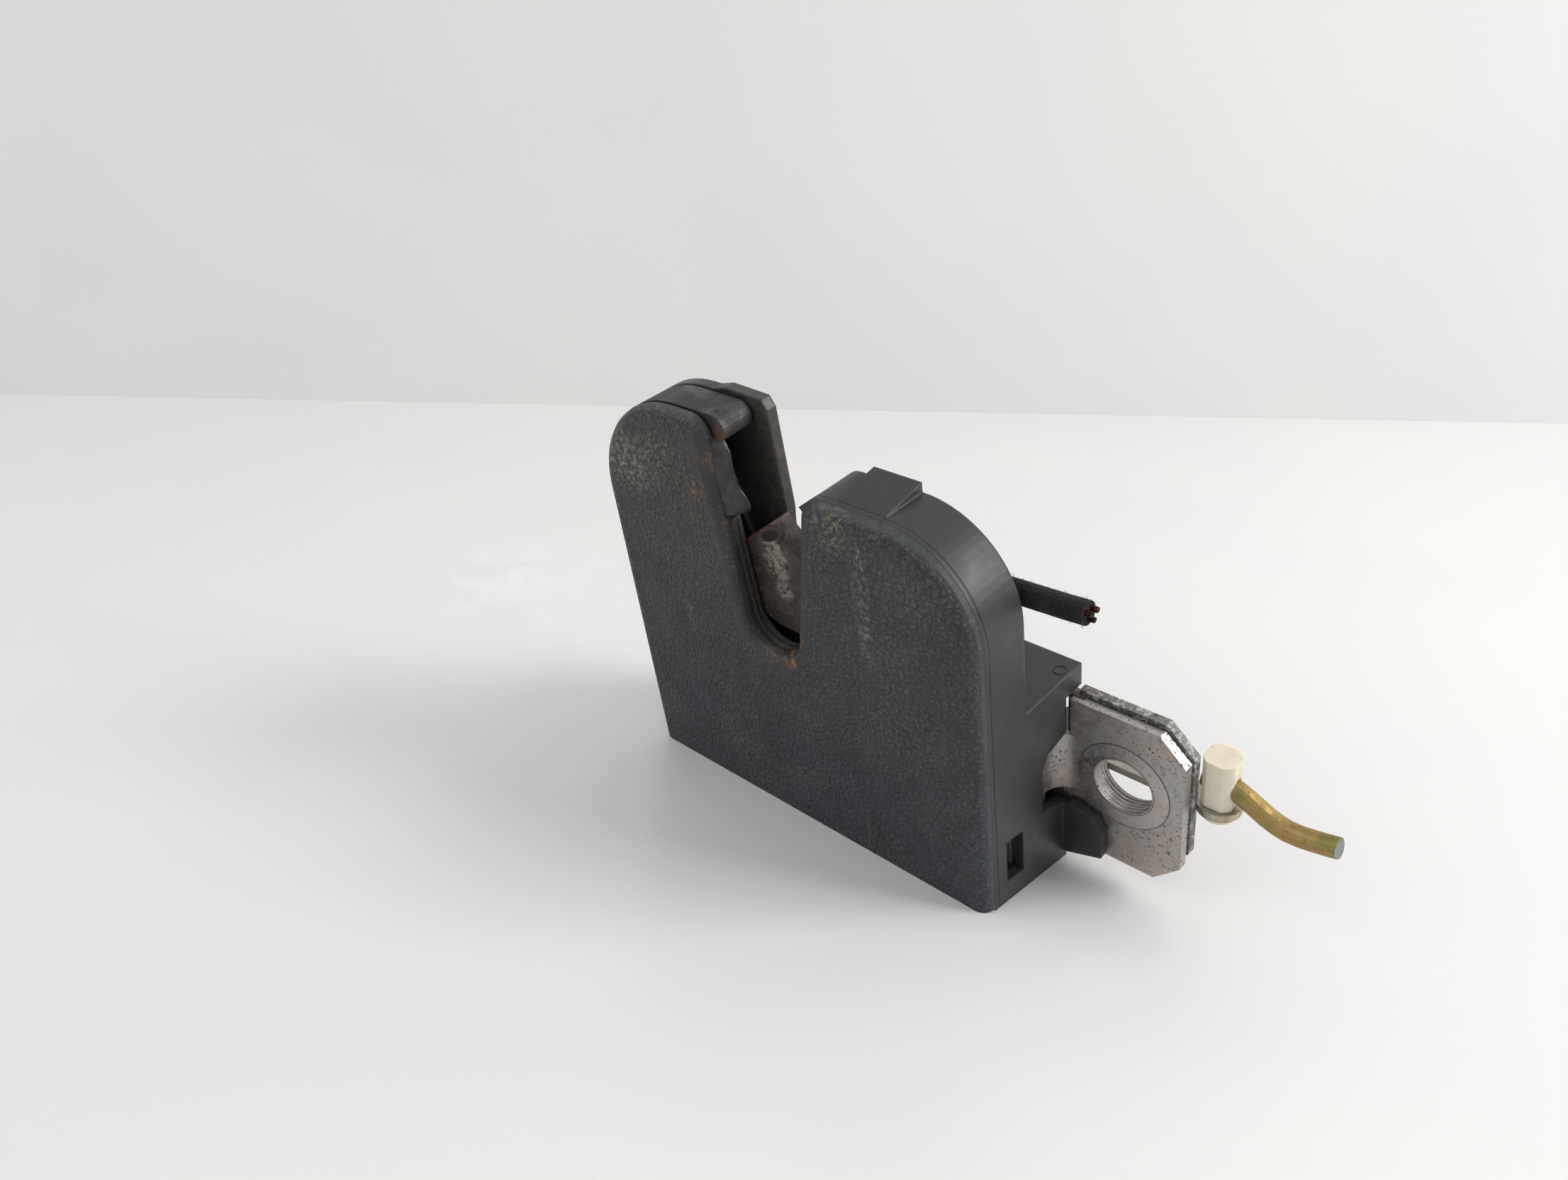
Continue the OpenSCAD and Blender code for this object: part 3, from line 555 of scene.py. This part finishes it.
def zinc_plate(name, pale_hex, warm_hex, speckle, rough_low, rough_high, pit_mm, crust=0.0):
    """Zinc plated sheet: tinge, rolling grain, dark pinholes, and white crust where it has corroded."""
    finish, tree, shader = new_finish(name)
    v = own_axes(tree)
    tinge = blotches(tree, v, 9, 0.35, 0.68, 3, 0.6, 0.6)
    base = two_tone(tree, pale_hex, warm_hex, tinge)
    pits = blotches(tree, v, 0.75, 0.565, 0.625, 4, 0.85)
    where = between(tree, noise(tree, v, 7, 4, 0.75), 0.38, 0.60, 0.35, 1.0)
    spots = times(tree, times(tree, pits, where), speckle)
    base = over(tree, base, "#2a2725", spots)
    crusted = times(tree, blotches(tree, v, 1.4, 0.50, 0.60, 5, 0.8), crust)
    base = over(tree, base, "#c9cbc8", crusted)
    skin(tree, shader, base=base)
    dull = larger(tree, times(tree, spots, 0.8), crusted)
    skin(tree, shader, metal=minus(tree, 1.0, dull))
    rough = between(tree, noise(tree, v, 2.5, 4, 0.65), 0.3, 0.75, rough_low, rough_high)
    skin(tree, shader, rough=plus(tree, rough, times(tree, spots, 0.4)))
    rolled = bump(tree, noise(tree, stretched(tree, v, (1, 1, 9)), 1.2, 3, 0.6), 0.02)
    pitted = minus(tree, noise(tree, v, 0.9, 4, 0.7), spots)
    skin(tree, shader, normal=bump(tree, pitted, pit_mm, rolled))
    return finish


zinc = zinc_plate("zinc_plated_sheet", "#adaca9", "#b5aaa2", 1.0, 0.36, 0.54, 0.05, crust=0.2)
dress(zinc, "frame_plate", "tab_doubler")
bar_zinc = zinc_plate("zinc_plated_bar", "#a8a9a7", "#b3a78f", 0.6, 0.36, 0.54, 0.04)
dress(bar_zinc, "release_bar")
rough_zinc = zinc_plate("corroded_zinc", "#8f908d", "#7c766c", 1.0, 0.55, 0.8, 0.35, crust=0.8)
dress(rough_zinc, "backing_plate")

# %% [markdown]
# ## Steel inside the lock
# Pins, pawl, springs and the screws at the back are bare or oiled steel and hardly seen. They get a plain
# turned or drawn finish with a little brown film. The switch's terminals share the spring wire's finish.

# %% Bare steel and spring wire


def steel(name, hex_colour, film_hex, rough):
    """Turned or drawn steel with an oily brown film."""
    finish, tree, shader = new_finish(name)
    v = own_axes(tree)
    film = blotches(tree, v, 2.4, 0.42, 0.7, 4, 0.65)
    skin(tree, shader, base=two_tone(tree, hex_colour, film_hex, film), metal=1.0)
    skin(tree, shader, rough=between(tree, film, 0, 1, rough, rough + 0.25))
    skin(tree, shader, normal=bump(tree, noise(tree, v, 0.4, 3), 0.01))
    return finish


dress(steel("turned_steel", "#8f8a84", "#5c4a3a", 0.38), "claw_pin", "pawl", "pawl_pin", "cover_screws")
dress(steel("spring_wire", "#9c9c9c", "#6a655f", 0.30),
      "claw_spring", "pawl_spring", "bar_spring", "switch_terminals")

# %% [markdown]
# ## The claw
# The claw is stamped steel with a plastic coat that quiets the striker. The coat has worn to pale, scraped
# patches on its face, and the bare steel above its sloping top edge has rusted to a deep red brown.

# %% Claw finish
# scrapes in mm: place across, height, reach, soft edge
SCRAPES = [(-46.4, 57.5, 1.7, 2.6), (-46.0, 54, 1.2, 2.6), (-45.2, 50, 0.6, 2.4)]
TOP_X, TOP_SLOPE, TOP_FROM, TOP_TO = -0.0531, 0.797, 0.0567, 0.0581
worn_claw, tree, shader = new_finish("worn_coated_claw")
v = own_axes(tree)
x, _, z = parts_of(tree, v)
base = two_tone(tree, "#332c26", "#1c1815", blotches(tree, v, 3.5, 0.35, 0.65, 5, 0.65))
scraped = 0.0
for scrape_x, scrape_z, reach, soft in SCRAPES:
    scraped = larger(tree, scraped, near(tree, v, (scrape_x, 5, scrape_z), reach, soft))
worn = times(tree, scraped, blotches(tree, v, 1.5, 0.40, 0.60, 5, 0.75, 0.8))
base = over(tree, base, "#8d8578", worn, 0.9)
grit = times(tree, blotches(tree, v, 0.6, 0.56, 0.64, 4, 0.8), blotches(tree, v, 5, 0.4, 0.6, 3))
base = over(tree, base, "#7d705f", grit, 0.5)
sloping = minus(tree, z, times(tree, minus(tree, x, TOP_X), TOP_SLOPE))
above = between(tree, sloping, TOP_FROM, TOP_TO)
rusty = times(tree, above, blotches(tree, v, 1.2, 0.25, 0.55, 4, 0.7))
base = over(tree, base, "#43281a", rusty)
flecks = blotches(tree, v, 0.7, 0.60, 0.68, 4, 0.8)
base = over(tree, base, "#7d5432", flecks, 0.5)
skin(tree, shader, base=base, rough=between(tree, noise(tree, v, 2, 3), 0.3, 0.8, 0.45, 0.75))
skin(tree, shader, normal=bump(tree, noise(tree, v, 1.0, 5, 0.7), 0.16), ior=1.5)
dress(worn_claw, "claw")

# %% [markdown]
# ## Natural nylon: the rod clip and the plunger
# Unpigmented polyamide is a cream colour and lets some light in, so that thin edges glow. A little
# subsurface scattering over a fairly glossy skin gives that.

# %% Nylon
nylon, tree, shader = new_finish("natural_nylon")
v = own_axes(tree)
stain = blotches(tree, v, 2.2, 0.5, 0.75, 4, 0.6)
skin(tree, shader, base=two_tone(tree, "#ddd5c3", "#b8a888", times(tree, stain, 0.5)), rough=0.38)
shader.inputs["Subsurface Weight"].default_value = 0.6
shader.inputs["Subsurface Radius"].default_value = (0.0012, 0.0010, 0.0007)
shader.inputs["Subsurface Scale"].default_value = 1.0
skin(tree, shader, ior=1.53, normal=bump(tree, noise(tree, v, 0.9, 3), 0.03))
dress(nylon, "rod_clip", "switch_plunger")

# %% [markdown]
# ## Yellow chromate: the pull rod
# The rod is steel wire with zinc and a yellow chromate bath over it. The film is thin enough to show colours
# like oil on water, so its gold drifts to olive and rose along the rod. The cut end is bare grey steel.

# %% Rod finish
ROD_END_X = 45.7
chromate, tree, shader = new_finish("yellow_chromate")
v = own_axes(tree)
x, _, _ = parts_of(tree, v)
drift = noise(tree, v, 6, 3, 0.6, 0.8)
gold = two_tone(tree, "#86804e", "#a08a58", between(tree, drift, 0.36, 0.5))
gold = over(tree, gold, "#9c7a58", between(tree, drift, 0.58, 0.70))
scuff = blotches(tree, v, 0.8, 0.60, 0.70, 4, 0.75)
gold = over(tree, gold, "#5d4a2c", scuff, 0.6)
cut = between(tree, x, (ROD_END_X - 0.35) / 1000, (ROD_END_X - 0.1) / 1000)
gold = over(tree, gold, "#8f9295", cut)
skin(tree, shader, base=gold, metal=1.0)
skin(tree, shader, rough=between(tree, noise(tree, v, 1.6, 4), 0.3, 0.8, 0.44, 0.60))
drawn = noise(tree, stretched(tree, v, (0.25, 1.6, 1.6)), 1.1, 4, 0.7)
skin(tree, shader, normal=bump(tree, plus(tree, drawn, times(tree, cut, noise(tree, v, 0.8, 4))), 0.16))
dress(chromate, "pull_rod")

# %% [markdown]
# ## The wiring loom
# A few wires leave the switch, wrapped in black fleece tape, and are cut off a short way out. The tape is a
# felt of polyester fibres that swallows light, so it has no gloss and a slightly fuzzy outline. The tube is
# one curve along the same points as the CAD route, and separate short fibres stand off it. Dull copper
# strands show in its cut end.

# %% Loom route
LOOM_Y, LOOM_R = 18, 2.08
LOOM_ROUTE = [(-22, 57.0), (-20, 57.0), (-17.5, 57.05), (-15, 57.1), (-12.5, 57.2), (-10, 57.3),
              (-7.5, 57.45), (-5, 57.6), (-2.5, 57.75), (0, 57.9), (2.5, 58.05), (5, 58.2),
              (7, 58.38), (8.5, 58.5)]  # places across and heights
loom_points = [at(x, LOOM_Y, z) for x, z in LOOM_ROUTE]

# %% Fleece tape
fleece, tree, shader = new_finish("fleece_tape")
v = own_axes(tree)
felt = noise(tree, v, 0.5, 5, 0.75)
skin(tree, shader, base=two_tone(tree, "#030304", "#101114", between(tree, felt, 0.35, 0.75)), rough=0.95)
shader.inputs["Sheen Weight"].default_value = 0.06
shader.inputs["Sheen Roughness"].default_value = 0.5
inputs = {"Vector": v, "Scale": 45.0, "Distortion": 1.2, "Detail": 2.0, "Detail Scale": 30.0}
lap = add(tree, "ShaderNodeTexWave", inputs, wave_type="BANDS", bands_direction="DIAGONAL").outputs["Fac"]
skin(tree, shader, normal=bump(tree, lap, 0.7, bump(tree, felt, 0.5)))
print("finish", fleece.name)

# %% Loom tube
curve = bpy.data.curves.new("loom_tape", "CURVE")
curve.dimensions = "3D"
curve.bevel_depth = LOOM_R / 1000
curve.bevel_resolution = 6
curve.use_fill_caps = True
spline = curve.splines.new("POLY")
spline.points.add(len(loom_points) - 1)
for place, point in zip(loom_points, spline.points):
    point.co = (*place, 1)
loom_tape = bpy.data.objects.new("loom_tape", curve)
bpy.context.scene.collection.objects.link(loom_tape)
curve.materials.append(fleece)
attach(loom_tape, "housing")
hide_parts("loom")
print(loom_tape.name, "with", len(spline.points), "points")

# %% Loom fibres
FIBRES, FIBRE_HALF_WIDTH = 900, 0.00003
FIRST_X, LAST_X = -21.5, 9.0
RISE_X, LOOM_END_X = -20, 8.5
LOOM_Z, LOOM_RISE = 57.0, 1.5
random.seed(7)
fibres = bpy.data.meshes.new("loom_fibres")
build = bmesh.new()
steps = ((1, 0, 0), (0, 1, 0), (0, 0, 1))
axis_x, axis_y, axis_z = ((at(*step) - at(0, 0, 0)).normalized() for step in steps)
for _ in range(FIBRES):
    root_x = random.uniform(FIRST_X, LAST_X)
    root_z = LOOM_Z + LOOM_RISE * max(0.0, (root_x - RISE_X) / (LOOM_END_X - RISE_X)) ** 1.25
    angle = random.uniform(0, 2 * math.pi)
    out = axis_y * math.cos(angle) + axis_z * math.sin(angle)
    root = at(min(root_x, LOOM_END_X), LOOM_Y, root_z) + out * (LOOM_R - 0.05) / 1000
    lean = (out + axis_x * random.uniform(-1.3, 1.3) + axis_y * random.uniform(-0.5, 0.5)).normalized()
    tip = root + lean * random.uniform(0.2, 0.95) / 1000
    side = lean.cross(out + axis_x * 0.3).normalized() * FIBRE_HALF_WIDTH
    middle = (root + tip) / 2 + out.cross(axis_x) * random.uniform(-0.1, 0.1) / 1000
    outline = (root - side, root + side, middle + side * 0.8, tip, middle - side * 0.8)
    build.faces.new([build.verts.new(p) for p in outline])
build.to_mesh(fibres)
build.free()
loom_fibres = bpy.data.objects.new("loom_fibres", fibres)
bpy.context.scene.collection.objects.link(loom_fibres)
settle(loom_fibres, "loom_fibres", fleece)

# %% Copper strands
copper, tree, shader = new_finish("copper_strands")
v = own_axes(tree)
skin(tree, shader, base=two_tone(tree, "#6b3f2c", "#1f1613", blotches(tree, v, 0.5, 0.35, 0.55, 4, 0.7)))
skin(tree, shader, metal=1.0, rough=0.6, normal=bump(tree, noise(tree, v, 0.25, 3), 0.08))
dress(copper, "loom_wires")

# %% [markdown]
# ## The worn lip of the horn
# The inner edge of the horn looks beaten into a thin wavy flap that curls into the mouth, as years of a
# striker's knocks would leave it. It starts as a flat grid, as one would start a cloth, and its points are
# then moved between two edges: one held in the cover, one free and wavy. Solidify gives it a wall.

# %% Beaten plastic
LIP_DIMPLE = (-56.4, 1.9, 77.4)
beaten, tree, shader = new_finish("beaten_plastic")
v = own_axes(tree)
base = two_tone(tree, "#1d1d1e", "#383532", blotches(tree, v, 2.2, 0.35, 0.7, 5, 0.7))
base = over(tree, base, "#4a3627", blotches(tree, v, 1.5, 0.54, 0.66, 5, 0.8), 0.5)
dimple = near(tree, v, LIP_DIMPLE, 0.7, 1.3)
base = over(tree, base, "#38291f", dimple, 0.7)
skin(tree, shader, base=base, rough=between(tree, noise(tree, v, 3, 3), 0.3, 0.7, 0.28, 0.5))
dents = minus(tree, noise(tree, v, 1.8, 4, 0.6), times(tree, dimple, 1.5))
skin(tree, shader, normal=bump(tree, dents, 0.3), ior=1.49)
print("finish", beaten.name)

# %% Worn lip
LIP_TOP, LIP_DROP, LIP_Y, LIP_WALL = 79.6, 15.2, 1.9, 0.6
LIP_HELD_X, LIP_HELD_SLOPE = -56.0, 0.104  # the held edge, at height 79 and per length downward
LIP_FREE = [(79.6, -56.2), (78.6, -54.6), (76.0, -52.9), (73.0, -52.3), (69.4, -51.6), (67.4, -50.5),
            (66.0, -50.1), (64.9, -50.6), (64.4, -52.2)]  # the free edge: height, place across


def along(edge, z):
    """X of a drawn edge at a height, by straight steps between its points."""
    for (z1, x1), (z0, x0) in zip(edge, edge[1:]):
        if z0 <= z <= z1:
            return x0 + (x1 - x0) * (z - z0) / (z1 - z0)
    return edge[0][1] if z > edge[0][0] else edge[-1][1]


bpy.ops.mesh.primitive_grid_add(x_subdivisions=28, y_subdivisions=6, size=1)
lip = bpy.context.object
for vert in lip.data.vertices:
    down, out = 0.5 - vert.co.x, vert.co.y + 0.5
    z = LIP_TOP - LIP_DROP * down
    held = LIP_HELD_X + (79 - z) * LIP_HELD_SLOPE
    x = held + (along(LIP_FREE, z) - held) * out
    wave = 0.35 * math.sin(7.5 * down + 1.0) * out
    hollow = 0.6 * math.sin(math.pi * out) * (0.4 + 0.6 * down)
    y = LIP_Y + 2.5 * out ** 1.6 + wave - hollow
    vert.co = at(x, y, z)
modify(lip, "SOLIDIFY", thickness=LIP_WALL / 1000, offset=0)
modify(lip, "SUBSURF", levels=2, render_levels=2)
settle(lip, "worn_lip", beaten, smooth=60)

# %% [markdown]
# ## Small moulded and stamped marks
# The slot in the claw's face has a raised rim and a dark floor, the block's top shows the round mark of an
# ejector pin, and the tab carries the print of the bolt's flange round its hole, with a ring at each edge of
# it and the ridges that a thread cut into the hole's wall. Each is a turned form, so rings and discs are the
# natural start. Two plain zinc blocks close the corners behind the tab's left edge and below the bend, where
# the white floor would show through.

# %% Claw slot
SLOT_X, SLOT_Z = -46.9, 60.9
SLOT_TURNS = [(90, "X"), (32, "Z")]
rim = ring(1.65, 0.55, 48, 10)
stretch(rim, 2.05, 0.85, 0.6)
stand(rim, SLOT_X, 5.02, SLOT_Z, SLOT_TURNS)
settle(rim, "claw_slot_rim", worn_claw, body="claw", smooth=60)
# The slot's floor is a near-black disc: painted shade in the slot.
dark_slot, tree, shader = new_finish("shadowed_steel")
v = own_axes(tree)
skin(tree, shader, base=two_tone(tree, "#0b0a09", "#1c1512", noise(tree, v, 0.6, 3)), rough=0.9)
bpy.ops.mesh.primitive_cylinder_add(vertices=40, radius=0.0016, depth=0.0006)
floor_of_slot = bpy.context.object
stretch(floor_of_slot, 2.0, 0.72, 1.0)
stand(floor_of_slot, SLOT_X, 5.2, SLOT_Z, SLOT_TURNS)
modify(floor_of_slot, "BEVEL", width=0.00005, segments=2)
settle(floor_of_slot, "claw_slot_floor", dark_slot, body="claw")

# %% Bolt flange print
HOLE_X, HOLE_Z, HOLE_R, TAB_Y = 10.8, 17.2, 5.65, 26.0
WALL_R = HOLE_R + 0.12
PRINT_R = 8.9
printed = zinc_plate("pressed_zinc", "#bab9b7", "#beb3ac", 0.6, 0.26, 0.42, 0.04)
bpy.ops.mesh.primitive_circle_add(vertices=96, radius=PRINT_R / 1000, fill_type="NOTHING")
flange_print = bpy.context.object
alone(flange_print)
bpy.ops.object.mode_set(mode="EDIT")
bpy.ops.mesh.select_all(action="SELECT")
bpy.ops.mesh.extrude_region_move()
bpy.ops.transform.resize(value=(WALL_R / PRINT_R, WALL_R / PRINT_R, 1))
bpy.ops.object.mode_set(mode="OBJECT")
modify(flange_print, "SOLIDIFY", thickness=0.0001, offset=0)
stand(flange_print, HOLE_X, TAB_Y - 0.02, HOLE_Z, [(90, "X")])
settle(flange_print, "bolt_flange_print", printed, smooth=3)
rough_ring = zinc_plate("ring_scar", "#6f6d6a", "#77695f", 1.0, 0.5, 0.7, 0.05)
for number, ring_r in enumerate((PRINT_R + 0.05, HOLE_R + 0.35)):
    scar = ring(ring_r, 0.09, 96, 6)
    stand(scar, HOLE_X, TAB_Y - 0.03, HOLE_Z, [(90, "X")])
    settle(scar, f"flange_ring_{number + 1}", rough_ring, smooth=60)

# %% Fillers behind the tab and below the bend
for name, size, place, zinc_coat in (("tab_root", (3.8, 2.4, 29.8), (0.4, 29.0, 16.5), rough_zinc),
                                     ("bend_root", (4.4, 1.7, 7.8), (-1.6, 26.95, 8.1), zinc)):
    bpy.ops.mesh.primitive_cube_add(size=1)
    root = bpy.context.object
    stretch(root, *(side / 1000 for side in size))
    modify(root, "BEVEL", width=0.0003, segments=2)
    stand(root, *place)
    settle(root, name, zinc_coat)

# %% Thread ridges in the hole
RIDGES, FIRST_DEPTH, RIDGE_PITCH, RIDGE_TILT = 5, 0.35, 0.82, 1.8
for number in range(RIDGES):
    ridge = ring(WALL_R, 0.26, 72, 8)
    stand(ridge, HOLE_X, TAB_Y + FIRST_DEPTH + RIDGE_PITCH * number, HOLE_Z, [(90 + RIDGE_TILT, "X")])
    settle(ridge, f"hole_ridge_{number + 1}", printed, smooth=60)

# %% Ejector mark on the block's top
mark = ring(1.15, 0.11, 40, 8)
stand(mark, -1.9, 26.0, 37.42)
settle(mark, "ejector_mark", housing_black, smooth=60)

# %% [markdown]
# ## Floor, backdrop and light
# The lock stands on a white glossy board with a white wall close behind. The line where they meet was found
# by following the photograph's faint horizon down to the floor. Light comes from a window to the right and
# behind, and the white surroundings fill the rest, so the shadow is soft and falls to the left.

# %% Floor and backdrop


def board(name, hex_colour, warm_hex, rough, lamp_reflection=None):
    """Matt to satin white board, with a painted lamp reflection: a soft brighter patch round the given place.
    """
    finish, tree, shader = new_finish(name)
    place = add(tree, "ShaderNodeTexCoord").outputs["Object"]
    base = two_tone(tree, hex_colour, warm_hex, blotches(tree, place, 160, 0.35, 0.7, 2))
    # Painted reflection of a lamp: a soft brighter patch round the given place.
    if lamp_reflection:
        gap = vectors(tree, "DISTANCE", place, lamp_reflection).outputs["Value"]
        patch = fading(tree, gap, 0.0, 0.045)
        patch = times(tree, patch, blotches(tree, place, 14, 0.3, 0.75, 4, 0.6, 0.5))
        base = mixed(tree, times(tree, patch, 0.25), base, (1, 1, 1, 1))
    skin(tree, shader, base=base, rough=rough, ior=1.45)
    return finish


floor_board = board("white_board", "#dedddc", "#e2e0de", 0.30, lamp_reflection=(-0.128, 0.0086, 0.0))
wall_board = board("white_wall", "#dcdddc", "#e1e0de", 0.5)
wall_a, wall_b = Vector((-0.397, -0.033, 0)), Vector((0.033, 0.377, 0))
wall_run = (wall_b - wall_a).normalized()
wall_front = Vector((wall_run.y, -wall_run.x, 0))
FURTHER, FLOOR_DEPTH, WALL_HEIGHT = 1.6, 2.2, 1.4
end_a, end_b = wall_a - wall_run * FURTHER, wall_b + wall_run * FURTHER
for name, reach, finish in (("floor", wall_front * FLOOR_DEPTH, floor_board),
                            ("backdrop", Vector((0, 0, WALL_HEIGHT)), wall_board)):
    corners = [tuple(corner) for corner in (end_a, end_b, end_b + reach, end_a + reach)]
    mesh = bpy.data.meshes.new(name)
    mesh.from_pydata(corners, [], [(0, 1, 2, 3)])
    o = bpy.data.objects.new(name, mesh)
    bpy.context.scene.collection.objects.link(o)
    mesh.materials.append(finish)
    print(name, "with", finish.name)

# %% Lights


def soft_lamp(name, place, aim, size, watts, colour):
    """A square area lamp at a place, turned to face aim."""
    data = bpy.data.lights.new(name, "AREA")
    data.size, data.energy, data.color = size, watts, colour
    o = bpy.data.objects.new(name, data)
    bpy.context.scene.collection.objects.link(o)
    o.location = place
    o.rotation_euler = (Vector(aim) - Vector(place)).to_track_quat("-Z", "Y").to_euler()
    print(name, watts, "watts")


LOCK_MIDDLE = (0, 0, 0.03)
soft_lamp("window", (0.75, 0.42, 0.62), LOCK_MIDDLE, 0.5, 7.5, (1.0, 0.99, 0.97))
soft_lamp("room", (-0.35, -0.9, 0.9), LOCK_MIDDLE, 0.8, 4.0, (0.96, 0.98, 1.0))
world = bpy.data.worlds.new("room_light")
world.use_nodes = True
background = world.node_tree.nodes["Background"]
background.inputs["Color"].default_value = (0.97, 0.98, 1.0, 1)
background.inputs["Strength"].default_value = 0.62
bpy.context.scene.world = world
